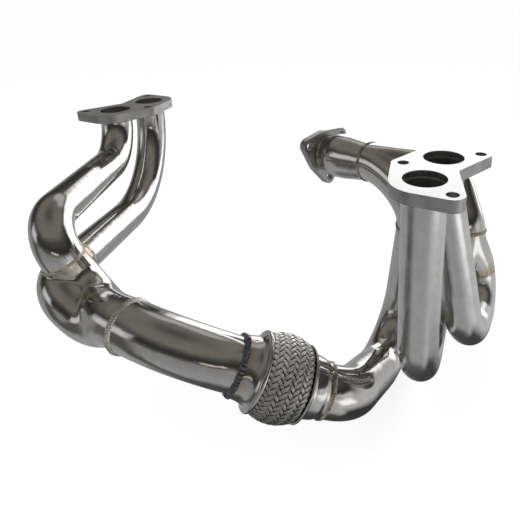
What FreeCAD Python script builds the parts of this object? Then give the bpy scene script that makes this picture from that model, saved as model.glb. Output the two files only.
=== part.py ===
"""Crossover exhaust manifold of a flat-four engine: bent stainless tube, 4-2-1 layout.

Frame: X runs from the left bank (-) to the right bank (+), Y fore (-) and aft (+), Z up. The
origin is midway between the two head flanges across the engine, level with their sealing faces,
and on the right flange's centre line fore and aft. Lengths are millimetres.

Two primaries leave each head flange. The left pair merges in a formed collector, crosses over
through a braided flex coupling and rises behind the right bank. The right pair turns back on
itself, merges, and joins the crossover in the merge collector, which feeds the outlet flange.
"""
import FreeCAD, Part
import Sketcher
import math
import os

Vector = FreeCAD.Vector
UP = Vector(0, 0, 1)
doc = FreeCAD.newDocument("exhaust_manifold")

# ---------------------------------------------------------------- driving dimensions
DIMENSIONS = {
    "flange_spacing": 480.0,
    "bank_offset": 66.0,
    "flange_thickness": 12.0,
    "port_pitch": 60.0,
    "port_bore": 40.0,
    "port_rim_radius": 31.0,
    "port_rim_offset": 34.0,
    "stud_hole": 11.0,
    "stud_reach": 31.0,
    "stud_offset": 54.0,
    "inboard_lug_radius": 12.0,
    "outboard_lug_radius": 11.0,
    "notch_radius": 5.0,
    "notch_centre": 28.0,
    "socket_depth": 6.0,
    "socket_clearance": 0.1,
    "primary_od": 41.3,
    "pipe_od": 50.8,
    "wall": 1.5,
    "bead_height": 1.7,
    "bead_width": 6.0,
    "fillet_leg": 4.0,
    "flex_start_bead": 3.3,
    "cuff_overlap": 6.0,
    "cuff_start": 4.0,
    "ring_start": 19.0,
    "braid_start": 24.0,
    "braid_end": 66.0,
    "ring_end": 70.0,
    "cuff_end": 92.0,
    "inlet_ring_radius": 37.0,
    "outlet_ring_radius": 36.0,
    "ring_bore_radius": 31.5,
    "braid_end_radius": 35.6,
    "braid_crown_radius": 41.0,
    "braid_thickness": 1.6,
    "bellows_root": 27.0,
    "bellows_crest": 32.5,
    "bellows_wall": 0.6,
    "bellows_waves": 8,
    "liner_radius": 23.8,
    "liner_wall": 1.2,
    "cone_length": 85.0,
    "cone_radius": 30.2,
    "neck_radius": 23.0,
    "outlet_plate_start": 78.0,
    "outlet_plate": 10.0,
    "outlet_bolt_radius": 36.0,
    "outlet_bolt_hole": 11.0,
    "outlet_lug_radius": 10.5,
    "outlet_rim_radius": 32.5,
}

sizes = doc.addObject("Spreadsheet::Sheet", "sizes")
for row, (alias, value) in enumerate(DIMENSIONS.items(), start=1):
    sizes.set(f"A{row}", alias.replace("_", " "))
    sizes.set(f"B{row}", str(value))
    sizes.setAlias(f"B{row}", alias)
doc.recompute()


def size(expression):
    """The value of an expression of named dimensions, such as pipe_od / 2."""
    return float(sizes.evalExpression(expression))


# ---------------------------------------------------------------- places and centrelines
half_spacing = size("flange_spacing / 2")
half_pitch = size("port_pitch / 2")
bank_offset = size("bank_offset")
socket_top = size("socket_depth - flange_thickness")

right_flange_centre = Vector(half_spacing, 0, 0)
left_flange_centre = Vector(-half_spacing, bank_offset, 0)

# The flex coupling's axis runs from the left bank's side to the right bank's.
flex_start = Vector(99, -139, -170)
flex_axis = Vector(66, 49, -46).normalize()


def on_flex(distance):
    """A point on the flex coupling's axis."""
    return flex_start + flex_axis * distance


crossover_end = on_flex(size("cuff_start + cuff_overlap"))
rear_crossover_start = on_flex(size("cuff_end"))

left_seam_front = Vector(-95.3, -159.9, -99.0)
left_seam_rear = Vector(-126.7, -129.0, -123.8)
left_collector_outlet = Vector(0, -168, -141)
right_seam_front = Vector(235, 101.7, -185)
right_seam_rear = Vector(264, 135, -181)
right_collector_outlet = Vector(245, 128, -128)
merge_seam_riser = Vector(193, 143.5, -61.6)
merge_seam_rear = Vector(194, 98.4, -120)
outlet_axis = Vector(-0.96, 0.27, -0.06).normalize()
merge_outlet = Vector(140, 124, -56) + outlet_axis * 24.5

# Each route lists the corners of a tube's centreline and the bend radius at each inner corner.
left_front_route = (
    [
        Vector(-half_spacing, bank_offset - half_pitch, socket_top),
        Vector(-half_spacing, bank_offset - half_pitch, -66),
        Vector(-107, -171, -58),
        left_seam_front,
    ],
    [56, 38],
)
left_rear_route = (
    [
        Vector(-half_spacing, bank_offset + half_pitch, socket_top),
        Vector(-half_spacing, bank_offset + half_pitch, -142),
        left_seam_rear,
    ],
    [120],
)
crossover_route = (
    [left_collector_outlet, on_flex(-55), crossover_end],
    [118],
)
rear_crossover_route = (
    [rear_crossover_start, on_flex(120), Vector(167.3, 104, -322), merge_seam_rear],
    [57, 62],
)
right_front_route = (
    [
        Vector(half_spacing, -half_pitch, socket_top),
        Vector(half_spacing, -half_pitch, -226),
        Vector(222, 85, -226),
        right_seam_front,
    ],
    [50, 47],
)
right_rear_route = (
    [
        Vector(half_spacing, half_pitch, socket_top),
        Vector(half_spacing, half_pitch, -30),
        Vector(273, 46, -220),
        Vector(271, 136.5, -220),
        right_seam_rear,
    ],
    [100, 42, 38],
)
riser_route = (
    [right_collector_outlet, Vector(243, 130, -118), Vector(216, 152, -64), merge_seam_riser],
    [55, 34],
)


# The left collector's two lobes are long enough to need routes of their own.
left_front_lobe = (
    [left_seam_front, Vector(-82.6, -147.8, -143.8), Vector(-32, -167.8, -139.9), left_collector_outlet],
    [40, 85],
)
left_rear_lobe = (
    [
        left_seam_rear,
        Vector(-103, -176, -120),
        Vector(-52, -170.5, -154),
        Vector(-20, -167.9, -140.3),
        left_collector_outlet,
    ],
    [44, 40, 40],
)


def end_direction(route):
    """The direction in which a route's last straight runs."""
    corners = route[0]
    return (corners[-1] - corners[-2]).normalize()


def start_direction(route):
    """The direction in which a route's first straight runs."""
    corners = route[0]
    return (corners[1] - corners[0]).normalize()


def route_edges(route):
    """Straight runs joined by tangent arcs at the inner corners."""
    corners, radii = route
    edges = []
    run_start = corners[0]
    for corner, after, radius in zip(corners[1:-1], corners[2:], radii):
        backward = (run_start - corner).normalize()
        forward = (after - corner).normalize()
        half_angle = backward.getAngle(forward) / 2
        setback = radius / math.tan(half_angle)
        to_centre = (backward + forward).normalize()
        arc_start = corner + backward * setback
        arc_middle = corner + to_centre * (radius / math.sin(half_angle) - radius)
        arc_end = corner + forward * setback
        edges.append(Part.LineSegment(run_start, arc_start).toShape())
        edges.append(Part.Arc(arc_start, arc_middle, arc_end).toShape())
        run_start = arc_end
    edges.append(Part.LineSegment(run_start, corners[-1]).toShape())
    return edges


def facing(position, direction):
    """A placement at position whose local Z points along direction."""
    return FreeCAD.Placement(position, FreeCAD.Rotation(UP, direction))


# ---------------------------------------------------------------- builders
LOBE_STEP = 9.0
LOBE_TUCK = 3.0
LOBE_INSET = 1.6
subparts = []


def keep(item, label):
    """Names a finished sub-part after its node and lists it for export."""
    item.Label = label
    subparts.append(item)


def bent_tube(label, route, diameter):
    """A tube of constant bore swept along a route of straights and bends."""
    edges = route_edges(route)
    centreline = doc.addObject("Part::Feature", label + "_centreline")
    centreline.Shape = Part.Wire(edges)
    sweeps = []
    outside = f"sizes.{diameter} / 2"
    for name, radius in (("outside", outside), ("bore", outside + " - sizes.wall")):
        section = doc.addObject("Part::Circle", f"{label}_{name}_section")
        section.setExpression("Radius", radius)
        section.Placement = facing(route[0][0], start_direction(route))
        sweep = doc.addObject("Part::Sweep", f"{label}_{name}")
        sweep.Sections = [section]
        sweep.Spine = (centreline, [f"Edge{number + 1}" for number in range(len(edges))])
        sweep.Solid = True
        sweep.Frenet = False
        sweeps.append(sweep)
    tube = doc.addObject("Part::Cut", label + "_tube")
    tube.Base, tube.Tool = sweeps
    keep(tube, label)


def smooth_edges(start, start_along, end, end_along):
    """One curve that leaves start and reaches end in the given directions."""
    reach = start.distanceToPoint(end)
    curve = Part.BSplineCurve()
    curve.interpolate(
        Points=[start, end], InitialTangent=start_along * reach, FinalTangent=end_along * reach
    )
    return [curve.toShape()]


def lobe(edges, start_radius, end_radius, tuck=0.0):
    """A round solid lofted along joined edges; tuck stops it that far short of the end."""
    stations = []
    for edge in edges:
        first, last = edge.FirstParameter, edge.LastParameter
        steps = max(1, round(edge.Length / LOBE_STEP))
        for step in range(steps):
            parameter = first + (last - first) * step / steps
            stations.append((edge.valueAt(parameter), edge.tangentAt(parameter)))
    end_along = edges[-1].tangentAt(edges[-1].LastParameter)
    stations.append((edges[-1].valueAt(edges[-1].LastParameter) - end_along * tuck, end_along))
    rings = []
    across = stations[0][1].cross(UP).normalize()
    for index, (point, along) in enumerate(stations):
        across = (across - along * along.dot(across)).normalize()
        share = index / (len(stations) - 1)
        radius = start_radius + (end_radius - start_radius) * share
        ring = Part.Wire(Part.Circle(Vector(0, 0, 0), UP, radius).toShape())
        turn = FreeCAD.Rotation(across, along.cross(across), along, "ZXY")
        ring.Placement = FreeCAD.Placement(point, turn)
        rings.append(ring)
    return Part.makeLoft(rings, True, False)


def formed_collector(label, inlet_radius, first, second):
    """Two tubes formed into one: the union of two lobes, hollowed by the wall.

    The second lobe ends just inside the first one, which alone reaches the outlet.
    """
    outlet_radius = size("pipe_od / 2")
    skins = []
    for wall in (0.0, size("wall")):
        main_lobe = lobe(first, inlet_radius - wall, outlet_radius - wall)
        side_lobe = lobe(second, inlet_radius - wall, outlet_radius - wall - LOBE_INSET, LOBE_TUCK)
        skins.append(main_lobe.fuse(side_lobe))
    collector = doc.addObject("Part::Feature", label + "_shell")
    collector.Shape = skins[0].cut(skins[1])
    keep(collector, label)


def origin_sketch(body, name, role):
    """An empty sketch on one of the body's own origin planes."""
    sketch = body.newObject("Sketcher::SketchObject", name)
    plane = next(item for item in body.Origin.OriginFeatures if item.Role == role)
    sketch.AttachmentSupport = [(plane, "")]
    sketch.MapMode = "FlatFace"
    return sketch


def pin(sketch, geometry, vertex, across, along):
    """Holds a vertex of a sketch at two expressions measured from the sketch's origin."""
    for kind, axis, expression in (("DistanceX", -2, across), ("DistanceY", -1, along)):
        value = size(expression)
        if abs(value) < 1e-9:
            sketch.addConstraint(Sketcher.Constraint("PointOnObject", geometry, vertex, axis))
        else:
            held = sketch.addConstraint(Sketcher.Constraint(kind, -1, 1, geometry, vertex, value))
            sketch.setExpression(f"Constraints[{held}]", expression)


def turned_body(name, profile, placement):
    """A ring turned about local Z from a polygon of (radius, height) expressions."""
    body = doc.addObject("PartDesign::Body", name)
    sketch = origin_sketch(body, name + "_profile", "XZ_Plane")
    points = [
        Vector(size(radius), size(height), 0)
        for radius, height in profile
    ]
    count = len(points)
    for index, point in enumerate(points):
        sketch.addGeometry(Part.LineSegment(point, points[(index + 1) % count]), False)
    for index in range(count):
        sketch.addConstraint(Sketcher.Constraint("Coincident", index, 2, (index + 1) % count, 1))
    for index, (radius, height) in enumerate(profile):
        pin(sketch, index, 1, radius, height)
    turning = body.newObject("PartDesign::Revolution", name + "_turning")
    turning.Profile = sketch
    turning.ReferenceAxis = (sketch, ["V_Axis"])
    turning.Angle = 360
    body.Placement = placement
    return body


def turned(label, profile, placement):
    """One turned ring as a sub-part."""
    keep(turned_body(label + "_body", profile, placement), label)


def sheet_profile(stations, wall="sizes.wall"):
    """The closed section of a formed sheet ring from its outside (radius, height) stations."""
    inside = [(f"{radius} - {wall}", height) for radius, height in reversed(stations)]
    return list(stations) + inside


def bead_profile(radius):
    """A low rounded weld crown around a tube, centred on the seam."""
    return [
        (radius, "-sizes.bead_width / 2"),
        (f"{radius} + sizes.bead_height * 0.8", "-sizes.bead_width / 4"),
        (f"{radius} + sizes.bead_height", "0"),
        (f"{radius} + sizes.bead_height * 0.8", "sizes.bead_width / 4"),
        (radius, "sizes.bead_width / 2"),
    ]


def fillet_profile(radius):
    """A fillet weld between a tube and the plate above it."""
    return [
        (radius, "0"),
        (f"{radius} + sizes.fillet_leg", "0"),
        (f"{radius} + sizes.fillet_leg * 0.3", "-sizes.fillet_leg * 0.4"),
        (radius, "-sizes.fillet_leg"),
    ]


def welds(label, rings):
    """One or more weld rings, each (profile, placement), as separate solids of one sub-part."""
    bodies = [
        turned_body(f"{label}_ring_{number}", profile, placement)
        for number, (profile, placement) in enumerate(rings, start=1)
    ]
    if len(bodies) == 1:
        keep(bodies[0], label)
        return
    group = doc.addObject("Part::Compound", label + "_group")
    group.Links = bodies
    keep(group, label)


def tangent_outline(sketch, circles):
    """Closes a sketch around circles, each (x, y, radius) expressions, with tangent lines.

    The circles go counter-clockwise; one whose radius starts with a minus is a hollow that the
    outline bends into. Every arc is pinned by its centre and radius, and the lines follow.
    """
    centres = []
    radii = []
    for across, along, radius in circles:
        centres.append(Vector(size(across), size(along), 0))
        radii.append(size(radius))
    normals = []
    count = len(circles)
    for index in range(count):
        after = (index + 1) % count
        between = centres[after] - centres[index]
        lean = math.acos((radii[index] - radii[after]) / between.Length)
        angle = math.atan2(between.y, between.x) - lean
        normals.append(Vector(math.cos(angle), math.sin(angle), 0))
    for index in range(count):
        after = (index + 1) % count
        arriving = math.atan2(normals[index - 1].y, normals[index - 1].x)
        leaving = math.atan2(normals[index].y, normals[index].x)
        hollow = radii[index] < 0
        first, last = (leaving + math.pi, arriving + math.pi) if hollow else (arriving, leaving)
        circle = Part.Circle(centres[index], UP, abs(radii[index]))
        sketch.addGeometry(Part.ArcOfCircle(circle, first, last), False)
        line_start = centres[index] + normals[index] * radii[index]
        line_end = centres[after] + normals[index] * radii[after]
        sketch.addGeometry(Part.LineSegment(line_start, line_end), False)
    for index in range(count):
        arc, line = 2 * index, 2 * index + 1
        line_before = (arc - 1) % (2 * count)
        hollow = radii[index] < 0
        into, out_of = (2, 1) if hollow else (1, 2)
        sketch.addConstraint(Sketcher.Constraint("Tangent", line_before, 2, arc, into))
        sketch.addConstraint(Sketcher.Constraint("Tangent", arc, out_of, line, 1))
        across, along, radius = circles[index]
        pin(sketch, arc, 3, across, along)
        held = sketch.addConstraint(Sketcher.Constraint("Radius", arc, abs(radii[index])))
        sketch.setExpression(f"Constraints[{held}]", radius.lstrip("-"))


def drilled(body, name, holes, depth=None, offset=0.0, upward=False):
    """A pocket of round holes, each (x, y, radius) expressions, through or to a depth."""
    sketch = origin_sketch(body, name + "_circles", "XY_Plane")
    sketch.AttachmentOffset = FreeCAD.Placement(Vector(0, 0, offset), FreeCAD.Rotation())
    for number, (across, along, radius) in enumerate(holes):
        value = size(radius)
        centre = Vector(size(across), size(along), 0)
        sketch.addGeometry(Part.Circle(centre, UP, value), False)
        pin(sketch, number, 3, across, along)
        held = sketch.addConstraint(Sketcher.Constraint("Radius", number, value))
        sketch.setExpression(f"Constraints[{held}]", radius)
    pocket = body.newObject("PartDesign::Pocket", name)
    pocket.Profile = sketch
    pocket.Reversed = upward
    if depth is None:
        pocket.Type = "ThroughAll"
    else:
        pocket.Type = "Length"
        pocket.setExpression("Length", depth)


# ---------------------------------------------------------------- flanges
def head_flange(label, placement):
    """A two-port head flange with one inboard stud, two outboard studs and a notched edge."""
    stud_x, stud_y = "sizes.stud_reach", "sizes.stud_offset"
    rim = "sizes.port_rim_radius"
    lug = "sizes.outboard_lug_radius"
    outline = [
        ("-" + stud_x, "0", "sizes.inboard_lug_radius"),
        ("0", "-sizes.port_rim_offset", rim),
        (stud_x, "-" + stud_y, lug),
        ("sizes.notch_centre", "0", "-sizes.notch_radius"),
        (stud_x, stud_y, lug),
        ("0", "sizes.port_rim_offset", rim),
    ]
    body = doc.addObject("PartDesign::Body", label + "_body")
    sketch = origin_sketch(body, label + "_outline", "XY_Plane")
    tangent_outline(sketch, outline)
    plate = body.newObject("PartDesign::Pad", label + "_plate")
    plate.Profile = sketch
    plate.setExpression("Length", "sizes.flange_thickness")
    plate.Reversed = True
    doc.recompute()
    ports = [("0", sign + "sizes.port_pitch / 2") for sign in ("-", "")]
    studs = [("-" + stud_x, "0"), (stud_x, "-" + stud_y), (stud_x, stud_y)]
    through = [(across, along, "sizes.port_bore / 2") for across, along in ports]
    through += [(across, along, "sizes.stud_hole / 2") for across, along in studs]
    drilled(body, label + "_holes", through)
    socket = "sizes.primary_od / 2 + sizes.socket_clearance"
    drilled(
        body,
        label + "_sockets",
        [(across, along, socket) for across, along in ports],
        depth="sizes.socket_depth",
        offset=-size("flange_thickness"),
        upward=True,
    )
    body.Placement = placement
    keep(body, label)


def outlet_flange(label, placement):
    """A three-lug outlet flange, bored for the cone's neck."""
    corners = []
    outline = []
    for number in range(3):
        lug_angle = 120 * number
        reach = "sizes.outlet_bolt_radius"
        corners.append((f"{reach} * cos({lug_angle} deg)", f"{reach} * sin({lug_angle} deg)"))
        outline.append((*corners[-1], "sizes.outlet_lug_radius"))
        outline.append(("0", "0", "sizes.outlet_rim_radius"))
    body = doc.addObject("PartDesign::Body", label + "_body")
    sketch = origin_sketch(body, label + "_outline", "XY_Plane")
    tangent_outline(sketch, outline)
    plate = body.newObject("PartDesign::Pad", label + "_plate")
    plate.Profile = sketch
    plate.setExpression("Length", "sizes.outlet_plate")
    doc.recompute()
    holes = [(across, along, "sizes.outlet_bolt_hole / 2") for across, along in corners]
    holes.append(("0", "0", "sizes.neck_radius + sizes.socket_clearance"))
    drilled(body, label + "_holes", holes, upward=True)
    body.Placement = placement
    keep(body, label)


half_turn = FreeCAD.Rotation(UP, 180)
head_flange("right_head_flange", FreeCAD.Placement(right_flange_centre, FreeCAD.Rotation()))
head_flange("left_head_flange", FreeCAD.Placement(left_flange_centre, half_turn))

# ---------------------------------------------------------------- primaries and their welds
tube_radius = "sizes.primary_od / 2"
pipe_radius = "sizes.pipe_od / 2"
primaries = {
    "left": (left_flange_centre, left_front_route, left_rear_route),
    "right": (right_flange_centre, right_front_route, right_rear_route),
}
for side, (flange_centre, front_route, rear_route) in primaries.items():
    bent_tube(f"{side}_front_primary", front_route, "primary_od")
    bent_tube(f"{side}_rear_primary", rear_route, "primary_od")
    underside = flange_centre - UP * size("flange_thickness")
    welds(
        f"{side}_port_welds",
        [
            (fillet_profile(tube_radius), facing(underside + Vector(0, offset, 0), UP))
            for offset in (-half_pitch, half_pitch)
        ],
    )
    welds(
        f"{side}_seam_welds",
        [
            (bead_profile(tube_radius), facing(route[0][-1], end_direction(route)))
            for route in (front_route, rear_route)
        ],
    )

# ---------------------------------------------------------------- collectors and pipes
primary_radius = size("primary_od / 2")


def merging(route, outlet, outlet_along):
    """The smooth centreline of a lobe that carries on from a tube's end to an outlet."""
    return smooth_edges(route[0][-1], end_direction(route), outlet, outlet_along)


formed_collector(
    "left_collector",
    primary_radius,
    route_edges(left_front_lobe),
    route_edges(left_rear_lobe),
)
formed_collector(
    "right_collector",
    primary_radius,
    merging(right_front_route, right_collector_outlet, start_direction(riser_route)),
    merging(right_rear_route, right_collector_outlet, start_direction(riser_route)),
)
formed_collector(
    "merge_collector",
    size("pipe_od / 2"),
    merging(riser_route, merge_outlet, outlet_axis),
    merging(rear_crossover_route, merge_outlet, outlet_axis),
)
bent_tube("crossover_pipe", crossover_route, "pipe_od")
bent_tube("rear_crossover_pipe", rear_crossover_route, "pipe_od")
bent_tube("right_riser_pipe", riser_route, "pipe_od")

pipe_bead = bead_profile(pipe_radius)
welds(
    "left_collector_weld",
    [(pipe_bead, facing(left_collector_outlet, start_direction(crossover_route)))],
)
welds(
    "right_collector_weld",
    [(pipe_bead, facing(right_collector_outlet, start_direction(riser_route)))],
)
welds(
    "merge_welds",
    [
        (pipe_bead, facing(route[0][-1], end_direction(route)))
        for route in (riser_route, rear_crossover_route)
    ],
)
welds("outlet_weld", [(pipe_bead, facing(merge_outlet, outlet_axis))])

# ---------------------------------------------------------------- flex coupling
flex_placement = facing(flex_start, flex_axis)


def bulge(share):
    """How far a barrel stands out, from 0 at its ends to 1 at its middle."""
    return math.sin(math.pi * share)


def braid_stations():
    """The braid's outside, a barrel between its two crimp rings."""
    steps = 6
    stations = []
    for step in range(steps + 1):
        share = step / steps
        swell = f"{bulge(share):.4f} * (sizes.braid_crown_radius - sizes.braid_end_radius)"
        height = f"sizes.braid_start + {share:.4f} * (sizes.braid_end - sizes.braid_start)"
        stations.append((f"sizes.braid_end_radius + {swell}", height))
    return stations


def bellows_side(offset):
    """The edges of one face of the bellows' sheet, offset from the middle of the sheet.

    Round roots and crests are joined by straight flanks. Points are (radius, 0, height).
    """
    half_wall = size("bellows_wall / 2")
    pitch = size("(braid_end - braid_start) / bellows_waves")
    bend = pitch / 4
    root_bend, crest_bend = bend - offset, bend + offset
    root = size("bellows_root") - half_wall + bend
    crest = size("bellows_crest") - half_wall - bend
    diagonal = math.sqrt(0.5)
    edges = []
    for wave in range(int(size("bellows_waves"))):
        low = size("braid_start") + wave * pitch
        middle = low + pitch / 2
        high = low + pitch
        first_root = (
            Vector(root - root_bend, 0, low),
            Vector(root - root_bend * diagonal, 0, low + root_bend * diagonal),
            Vector(root, 0, low + root_bend),
        )
        top = (
            Vector(crest, 0, middle - crest_bend),
            Vector(crest + crest_bend, 0, middle),
            Vector(crest, 0, middle + crest_bend),
        )
        last_root = (
            Vector(root, 0, high - root_bend),
            Vector(root - root_bend * diagonal, 0, high - root_bend * diagonal),
            Vector(root - root_bend, 0, high),
        )
        edges.append(Part.Arc(*first_root).toShape())
        edges.append(Part.LineSegment(first_root[2], top[0]).toShape())
        edges.append(Part.Arc(*top).toShape())
        edges.append(Part.LineSegment(top[2], last_root[0]).toShape())
        edges.append(Part.Arc(*last_root).toShape())
    return edges


def flex_bellows(label):
    """A convoluted tube: one sheet section with round roots and crests, turned about the axis."""
    half_wall = size("bellows_wall / 2")
    outside, inside = bellows_side(half_wall), bellows_side(-half_wall)
    caps = [
        Part.LineSegment(outside[0].Vertexes[0].Point, inside[0].Vertexes[0].Point).toShape(),
        Part.LineSegment(outside[-1].Vertexes[-1].Point, inside[-1].Vertexes[-1].Point).toShape(),
    ]
    section = Part.Face(Part.Wire(Part.sortEdges(outside + inside + caps)[0]))
    bellows = doc.addObject("Part::Feature", label + "_shell")
    bellows.Shape = section.revolve(Vector(0, 0, 0), UP, 360)
    bellows.Placement = flex_placement
    keep(bellows, label)


def hoop(label, start, end):
    """One loose hoop of the interlock liner."""
    stations = [("sizes.liner_radius", str(start)), ("sizes.liner_radius", str(end))]
    turned(label, sheet_profile(stations, "sizes.liner_wall"), flex_placement)


# Where each liner hoop starts and ends along the coupling; the gaps let it shorten and bend.
LINER_HOOPS = {
    "inlet": (0, 28),
    "middle": (33, 39),
    "slider": (44, 50),
    "outlet": (57, 98),
}

# The cuffs' outsides, from (radius, distance along the coupling): each flares to its ring.
inlet_cuff = [
    (f"{pipe_radius} + 2.8", "sizes.cuff_start"),
    (f"{pipe_radius} + 4.1", "sizes.cuff_start + 8"),
    (f"{pipe_radius} + 5.6", "sizes.cuff_start + 12"),
    (f"{pipe_radius} + 8.6", "sizes.ring_start"),
]
outlet_cuff = [
    ("sizes.ring_bore_radius + 1.5", "sizes.ring_end"),
    (f"{pipe_radius} + 4.6", "sizes.ring_end + 3"),
    (f"{pipe_radius} + 3.1", "sizes.ring_end + 14"),
    (f"{pipe_radius} + 1.5", "sizes.ring_end + 18"),
    (f"{pipe_radius} + 1.5", "sizes.cuff_end"),
]
inlet_bead = [
    (pipe_radius, "-1"),
    (f"{pipe_radius} + sizes.flex_start_bead * 0.7", "0"),
    (f"{pipe_radius} + sizes.flex_start_bead", "2"),
    (f"{pipe_radius} + sizes.flex_start_bead", "sizes.cuff_start"),
    (pipe_radius, "sizes.cuff_start"),
]
outlet_bead = [
    (pipe_radius, "sizes.cuff_end"),
    (f"{pipe_radius} + sizes.bead_height * 1.3", "sizes.cuff_end"),
    (f"{pipe_radius} + sizes.bead_height * 1.1", "sizes.cuff_end + 2"),
    (pipe_radius, "sizes.cuff_end + 4"),
]
inlet_ring = [
    ("sizes.inlet_ring_radius", "sizes.ring_start"),
    ("sizes.inlet_ring_radius", "sizes.braid_start"),
]
outlet_ring = [
    ("sizes.outlet_ring_radius", "sizes.braid_end"),
    ("sizes.outlet_ring_radius", "sizes.ring_end"),
]

turned("flex_inlet_weld", inlet_bead, flex_placement)
turned("flex_inlet_cuff", sheet_profile(inlet_cuff), flex_placement)
turned(
    "flex_inlet_ring",
    sheet_profile(inlet_ring, "(sizes.inlet_ring_radius - sizes.ring_bore_radius)"),
    flex_placement,
)
flex_bellows("flex_bellows")
for name, (start, end) in LINER_HOOPS.items():
    hoop("flex_liner_" + name, start, end)
turned("flex_braid", sheet_profile(braid_stations(), "sizes.braid_thickness"), flex_placement)
turned(
    "flex_outlet_ring",
    sheet_profile(outlet_ring, "(sizes.outlet_ring_radius - sizes.ring_bore_radius)"),
    flex_placement,
)
turned("flex_outlet_cuff", sheet_profile(outlet_cuff), flex_placement)
turned("flex_outlet_weld", outlet_bead, flex_placement)

# ---------------------------------------------------------------- outlet
# The cone's outside swells from the merge collector and necks down to the flange's bore.
cone = [
    (pipe_radius, "0"),
    (f"{pipe_radius} + 2.0", "18"),
    ("sizes.cone_radius - 0.6", "36"),
    ("sizes.cone_radius", "47"),
    ("sizes.cone_radius - 0.5", "54"),
    ("sizes.neck_radius + 3.4", "64"),
    ("sizes.neck_radius + 0.5", "71"),
    ("sizes.neck_radius", "76"),
    ("sizes.neck_radius", "sizes.cone_length"),
]
turned("outlet_cone", sheet_profile(cone), facing(merge_outlet, outlet_axis))

# The first lug's bearing about the outlet axis, measured up from the level direction.
LUG_BEARING = 32.0
level_across = outlet_axis.cross(UP).normalize()
lug_up = level_across.cross(outlet_axis)
bearing = math.radians(LUG_BEARING)
first_lug = level_across * math.cos(bearing) + lug_up * math.sin(bearing)
plate_rotation = FreeCAD.Rotation(first_lug, outlet_axis.cross(first_lug), outlet_axis, "ZXY")
plate_start = merge_outlet + outlet_axis * size("outlet_plate_start")
outlet_flange("outlet_flange", FreeCAD.Placement(plate_start, plate_rotation))
welds(
    "outlet_flange_weld",
    [(fillet_profile("sizes.neck_radius"), facing(plate_start, outlet_axis))],
)

# ---------------------------------------------------------------- checks and export
doc.recompute()
for item in doc.Objects:
    if "Invalid" in item.State or "Error" in item.State:
        raise RuntimeError(f"{item.Label} failed to recompute: {item.State}")
for item in subparts:
    if item.Shape.isNull() or not item.Shape.isValid():
        raise RuntimeError(f"{item.Label} has no valid shape")

os.makedirs("parts", exist_ok=True)
for item in subparts:
    item.Shape.exportStep(os.path.join("parts", item.Label + ".step"))
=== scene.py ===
"""Looks for the crossover exhaust manifold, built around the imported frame.

Lengths in this script are millimetres, turned into Blender's metres by MM. The tube routes and
the flex coupling's stations are the design's own, so each visible piece lies on its CAD node.
"""

import math

import bmesh
import bpy
import numpy as np
from mathutils import Matrix, Vector, noise


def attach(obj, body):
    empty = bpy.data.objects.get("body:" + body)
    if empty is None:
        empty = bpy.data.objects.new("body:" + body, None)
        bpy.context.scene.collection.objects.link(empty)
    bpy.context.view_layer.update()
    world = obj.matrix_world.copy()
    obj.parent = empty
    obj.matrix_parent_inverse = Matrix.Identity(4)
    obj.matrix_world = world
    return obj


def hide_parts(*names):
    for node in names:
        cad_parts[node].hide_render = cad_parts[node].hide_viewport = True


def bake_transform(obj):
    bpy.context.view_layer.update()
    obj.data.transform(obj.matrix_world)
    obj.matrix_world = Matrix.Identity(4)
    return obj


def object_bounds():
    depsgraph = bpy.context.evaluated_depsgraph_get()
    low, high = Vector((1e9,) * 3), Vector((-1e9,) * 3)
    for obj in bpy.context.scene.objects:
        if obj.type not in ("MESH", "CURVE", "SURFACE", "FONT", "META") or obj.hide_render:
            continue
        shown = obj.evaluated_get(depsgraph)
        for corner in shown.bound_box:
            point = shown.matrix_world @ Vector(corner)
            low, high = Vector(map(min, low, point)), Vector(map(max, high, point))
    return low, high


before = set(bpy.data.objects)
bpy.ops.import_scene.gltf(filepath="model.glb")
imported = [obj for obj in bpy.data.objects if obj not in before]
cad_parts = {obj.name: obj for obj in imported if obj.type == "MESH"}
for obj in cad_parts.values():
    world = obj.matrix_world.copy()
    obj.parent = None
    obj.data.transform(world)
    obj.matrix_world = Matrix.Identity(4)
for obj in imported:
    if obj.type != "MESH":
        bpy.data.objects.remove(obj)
cad_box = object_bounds()

MM = 0.001
UP = Vector((0, 0, 1))


def point(x, y, z):
    """A place in the row frame, in millimetres."""
    return Vector((x, y, z))


# ---------------------------------------------------------------- the design's sizes and places
PRIMARY_RADIUS = 20.65
PIPE_RADIUS = 25.4
WALL = 1.5
FLANGE_THICKNESS = 12
SOCKET_TOP = -6
# Where each head flange port lies, across and along the engine.
PORTS = {
    "left_front_primary": (-240, 36),
    "left_rear_primary": (-240, 96),
    "right_front_primary": (240, -30),
    "right_rear_primary": (240, 30),
}


def under_port(name, level):
    """A point on the axis of a head flange's port."""
    x, y = PORTS[name]
    return point(x, y, level)


flex_start = point(99, -139, -170)
flex_axis = point(66, 49, -46).normalized()


def on_flex(distance):
    """A point on the flex coupling's axis."""
    return flex_start + flex_axis * distance


CUFF_START, RING_START, BRAID_START = 4, 19, 24
BRAID_END, RING_END, CUFF_END = 66, 70, 92

left_seam_front = point(-95.3, -159.9, -99)
left_seam_rear = point(-126.7, -129, -123.8)
left_outlet = point(0, -168, -141)
right_seam_front = point(235, 101.7, -185)
right_seam_rear = point(264, 135, -181)
right_outlet = point(245, 128, -128)
merge_seam_riser = point(193, 143.5, -61.6)
merge_seam_rear = point(194, 98.4, -120)
outlet_axis = point(-0.96, 0.27, -0.06).normalized()
merge_outlet = point(140, 124, -56) + outlet_axis * 24.5

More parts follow.
